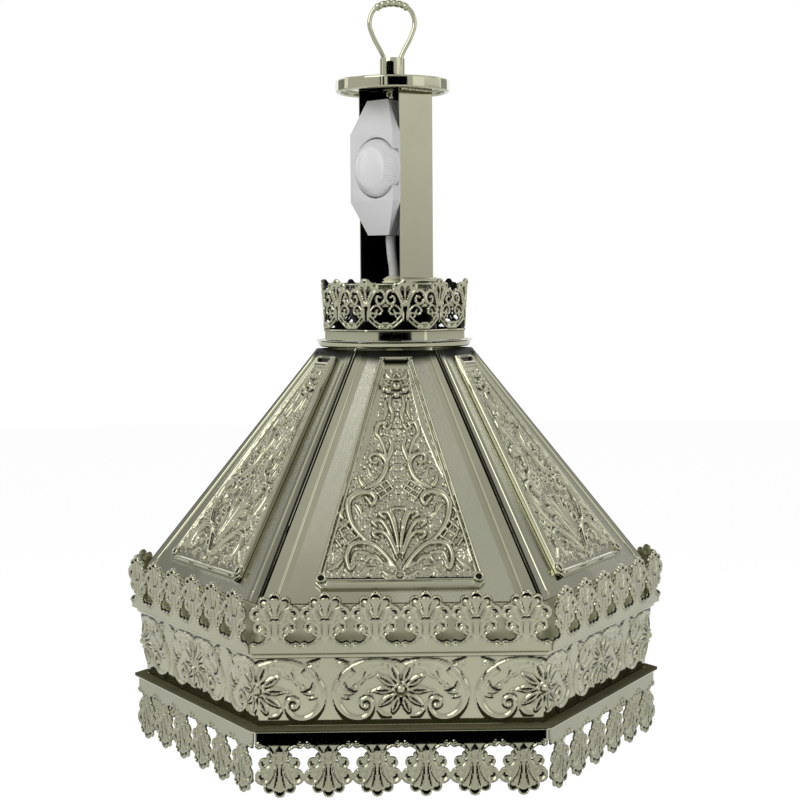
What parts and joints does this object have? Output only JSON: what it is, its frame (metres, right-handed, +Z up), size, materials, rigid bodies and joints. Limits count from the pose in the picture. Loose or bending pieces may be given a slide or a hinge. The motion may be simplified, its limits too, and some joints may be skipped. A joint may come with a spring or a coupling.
{
  "type": "chanters lantern",
  "caption": "Hanging six-sided pressed-metal church lantern with pierced palmette galleries, a relief roof, a crown, a channel column holding a rotary dimmer, and a wire hanging loop.",
  "frame": {"origin": "the hook point: the inside of the hanging loop's crest, on the lantern's centre line", "axes": "+Z up along the centre line; -Y out of the front side; +X to the right as seen from the front"},
  "size_m": [0.3424, 0.2986, 0.4681],
  "materials": {
    "nickel_plate": "polished nickel plate",
    "dark_screw": "blackened",
    "white_plastic": "smooth moulded",
    "dial_plastic": "smooth moulded",
    "circuit_board": "lacquered laminate",
    "cord_sheath": "satin PVC",
    "porcelain": "glazed",
    "bulb_glass": "opal"
  },
  "bodies": {
    "lantern": {"hanging_loop": "nickel_plate", "loop_socket": "nickel_plate", "top_disc": "nickel_plate", "stud_washer": "nickel_plate", "stud_nut": "nickel_plate", "column": "nickel_plate", "column_foot": "nickel_plate", "cable_gland": "nickel_plate", "lamp_tube": "nickel_plate", "tube_nut": "nickel_plate", "crown_cap": "nickel_plate", "crown_gallery": "nickel_plate", "crown_flange": "nickel_plate", "roof_skirt": "nickel_plate", "upper_flange": "nickel_plate", "frieze": "nickel_plate", "lower_flange": "nickel_plate", "roof_panel_1": "nickel_plate", "relief_panel_1": "nickel_plate", "upper_gallery_1": "nickel_plate", "lower_gallery_1": "nickel_plate", "roof_panel_2": "nickel_plate", "relief_panel_2": "nickel_plate", "upper_gallery_2": "nickel_plate", "lower_gallery_2": "nickel_plate", "roof_panel_3": "nickel_plate", "relief_panel_3": "nickel_plate", "upper_gallery_3": "nickel_plate", "lower_gallery_3": "nickel_plate", "roof_panel_4": "nickel_plate", "relief_panel_4": "nickel_plate", "upper_gallery_4": "nickel_plate", "lower_gallery_4": "nickel_plate", "roof_panel_5": "nickel_plate", "relief_panel_5": "nickel_plate", "upper_gallery_5": "nickel_plate", "lower_gallery_5": "nickel_plate", "roof_panel_6": "nickel_plate", "relief_panel_6": "nickel_plate", "upper_gallery_6": "nickel_plate", "lower_gallery_6": "nickel_plate", "panel_screw_1_left": "dark_screw", "panel_screw_1_right": "dark_screw", "panel_screw_2_left": "dark_screw", "panel_screw_2_right": "dark_screw", "panel_screw_3_left": "dark_screw", "panel_screw_3_right": "dark_screw", "panel_screw_4_left": "dark_screw", "panel_screw_4_right": "dark_screw", "panel_screw_5_left": "dark_screw", "panel_screw_5_right": "dark_screw", "panel_screw_6_left": "dark_screw", "panel_screw_6_right": "dark_screw", "dimmer_cover": "white_plastic", "dimmer_base": "white_plastic", "dimmer_board": "circuit_board", "dimmer_cord": "cord_sheath", "lampholder": "porcelain", "bulb": "bulb_glass"},
    "dial": {"dimmer_dial": "dial_plastic"}
  },
  "joints": [
    {"name": "dial_turn", "type": "hinge", "parent": "lantern", "child": "dial", "pos_m": [-0.01117, -0.01588, -0.1017], "axis": [-0.7314, -0.682, 0], "range_deg": [-150, 150]}
  ]
}
